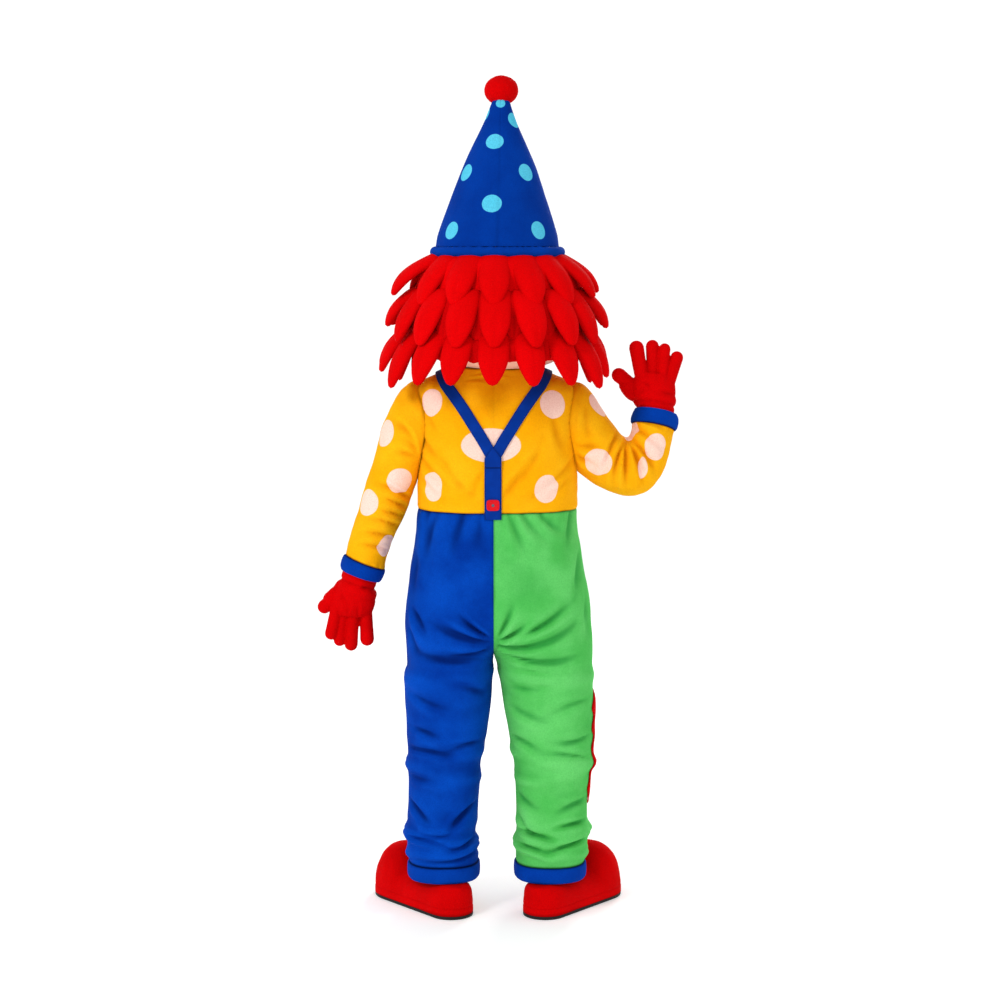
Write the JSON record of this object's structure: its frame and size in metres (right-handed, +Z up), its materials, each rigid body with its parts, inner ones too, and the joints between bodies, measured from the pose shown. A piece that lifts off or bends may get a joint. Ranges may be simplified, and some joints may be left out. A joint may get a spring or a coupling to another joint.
{
  "type": "clown mascot costume",
  "caption": "Full-body clown costume: tall dotted hat, padded head with leaf-shaped hair, dotted shirt, suspenders, two-coloured trousers, gloves and big shoes, hollow and worn with no wearer",
  "frame": {"origin": "between the wearer's shoulders, 1480 mm above the floor, where the wearer carries the costume", "axes": "+Z up, +Y the way the wearer faces, +X the wearer's right"},
  "size_m": [1.0114, 0.5887, 2.331],
  "materials": {
    "hat_blue": "short plush, matt",
    "red_plush": "fleece, matt with a soft sheen",
    "skin_plush": "short plush, matt",
    "yellow_plush": "short plush, soft sheen",
    "blue_plush": "short plush, soft sheen",
    "green_plush": "short plush, soft sheen",
    "strap_blue": "woven webbing, matt",
    "eye_white": "satin",
    "eye_black": "gloss",
    "red_button": "satin",
    "black_sole": "matt rubber"
  },
  "bodies": {
    "root": {"hat_cone": "hat_blue", "hat_brim": "hat_blue", "hat_pompom": "red_plush", "hair_tier_1": "red_plush", "hair_tier_2": "red_plush", "hair_tier_3": "red_plush", "nose": "red_plush", "mouth": "red_plush", "glove_left": "red_plush", "glove_right": "red_plush", "shoe_upper_left": "red_plush", "shoe_upper_right": "red_plush", "knee_patch": "red_plush", "head_shell": "skin_plush", "shirt_back_left": "yellow_plush", "shirt_back_right": "yellow_plush", "shirt_front": "yellow_plush", "sleeve_left": "yellow_plush", "sleeve_right": "yellow_plush", "trousers_back_left": "blue_plush", "trousers_front_left": "blue_plush", "hem_band_left": "blue_plush", "hem_band_right": "blue_plush", "cuff_left": "blue_plush", "cuff_right": "blue_plush", "trousers_back_right": "green_plush", "trousers_front_right": "green_plush", "suspender_left": "strap_blue", "suspender_right": "strap_blue", "suspender_yoke": "strap_blue", "suspender_back": "strap_blue", "eye_white_left": "eye_white", "eye_white_right": "eye_white", "pupil_left": "eye_black", "pupil_right": "eye_black", "back_button": "red_button", "front_button_left": "red_button", "front_button_right": "red_button", "shoe_sole_left": "black_sole", "shoe_sole_right": "black_sole"}
  },
  "joints": []
}
